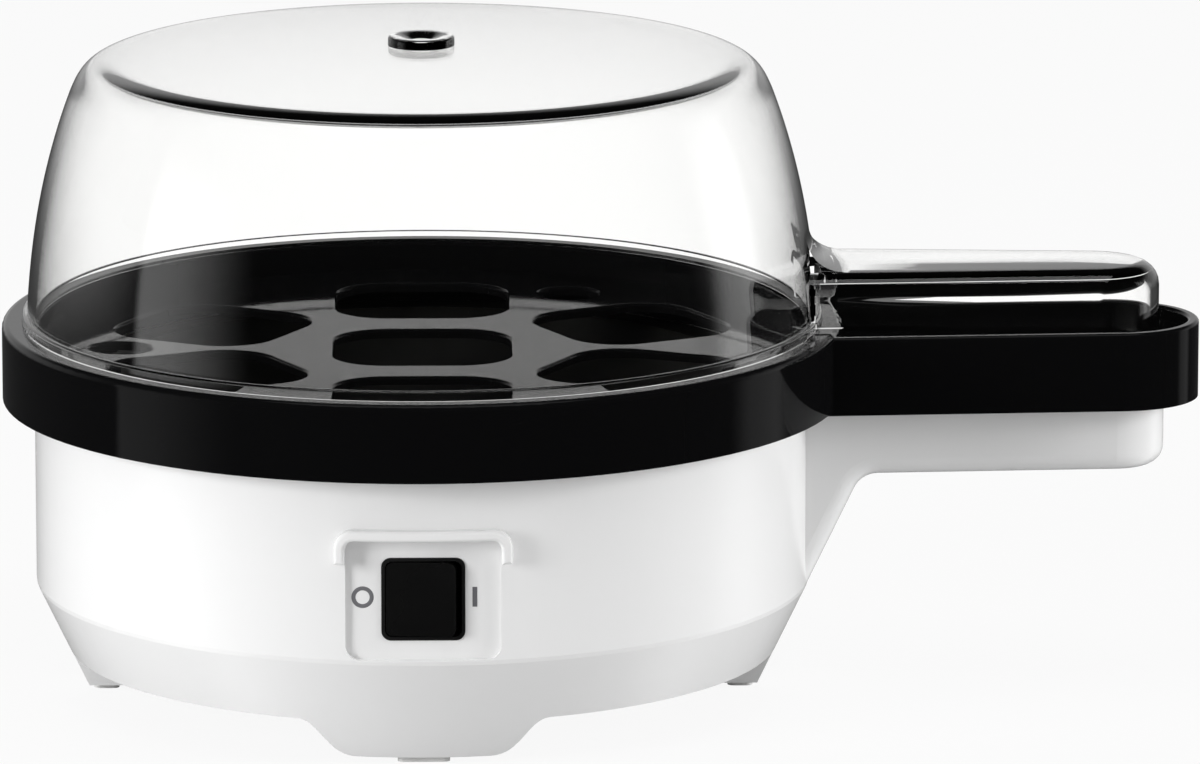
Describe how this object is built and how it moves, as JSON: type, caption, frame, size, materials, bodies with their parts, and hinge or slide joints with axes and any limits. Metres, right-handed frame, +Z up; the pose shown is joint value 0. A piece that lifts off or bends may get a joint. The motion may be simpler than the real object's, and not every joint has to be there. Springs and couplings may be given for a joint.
{
  "type": "electric egg cooker",
  "caption": "Electric egg cooker: white base with a heated bowl and rocker switch, black egg tray with a trough handle, clear domed lid with a nested handle.",
  "frame": {"origin": "on the ground, under the middle of the outer box of the closed cooker", "axes": "+X along the handles, +Z up, -Y is the front with the switch"},
  "size_m": [0.2852, 0.2, 0.1583],
  "materials": {
    "white_plastic": "glossy white moulded plastic",
    "black_plastic": "glossy black moulded plastic",
    "clear_plastic": "clear polished plastic",
    "button_plastic": "black satin plastic",
    "foot_rubber": "pale grey soft rubber",
    "bowl_metal": "dark non-stick coat on aluminium",
    "heater_metal": "dull steel tube",
    "plated_steel": "zinc plated",
    "seal_rubber": "red silicone",
    "switch_plastic": "black moulded plastic",
    "contact_brass": "tinned brass",
    "cream_plastic": "natural moulded plastic",
    "ceramic": "glazed ceramic",
    "gland_rubber": "white soft plastic",
    "wire_brown": "brown insulation",
    "wire_blue": "blue insulation",
    "wire_green": "green and yellow insulation",
    "wire_white": "white heatproof insulation"
  },
  "bodies": {
    "base": {"base_housing": "white_plastic", "foot_pads": "foot_rubber", "bottom_cover": "white_plastic", "bottom_cover_screws": "plated_steel", "heating_bowl": "bowl_metal", "bowl_seal": "seal_rubber", "heating_element": "heater_metal", "element_clips": "plated_steel", "bowl_studs": "plated_steel", "stud_nuts": "plated_steel", "thermostat": "ceramic", "thermostat_bracket": "plated_steel", "thermal_fuse": "plated_steel", "fuse_clip": "plated_steel", "earth_tab": "contact_brass", "switch_body": "switch_plastic", "switch_tabs": "contact_brass", "rocker_pin": "plated_steel", "contact_pin": "contact_brass", "cord_gland": "gland_rubber", "cord_clamp": "cream_plastic", "cord_clamp_screws": "plated_steel", "terminal_block": "cream_plastic", "terminal_screws": "contact_brass", "wire_live": "wire_brown", "wire_neutral": "wire_blue", "wire_earth": "wire_green", "wire_heater": "wire_white", "wire_link": "wire_white"},
    "egg_carrier": {"egg_carrier": "black_plastic"},
    "lid": {"lid": "clear_plastic"},
    "rocker": {"rocker_button": "button_plastic", "rocker_spring": "plated_steel", "rocker_plunger": "contact_brass"},
    "contact": {"contact_lever": "contact_brass"}
  },
  "joints": [
    {"name": "tray_lift", "type": "slide", "parent": "base", "child": "egg_carrier", "axis": [0, 0, 1], "range_m": [0, 0.12]},
    {"name": "lid_lift", "type": "slide", "parent": "egg_carrier", "child": "lid", "axis": [0, 0, 1], "range_m": [0, 0.16]},
    {"name": "rocker_tilt", "type": "hinge", "parent": "base", "child": "rocker", "pos_m": [-0.0426, -0.085, 0.0415], "axis": [0, 0, 1], "range_deg": [0, 12]},
    {"name": "contact_tilt", "type": "hinge", "parent": "base", "child": "contact", "pos_m": [-0.0426, -0.0744, 0.0415], "axis": [0, 0, 1], "range_deg": [-12, 0]}
  ],
  "couplings": [
    {"joint": "contact_tilt", "follows": "rocker_tilt", "ratio": -1}
  ]
}
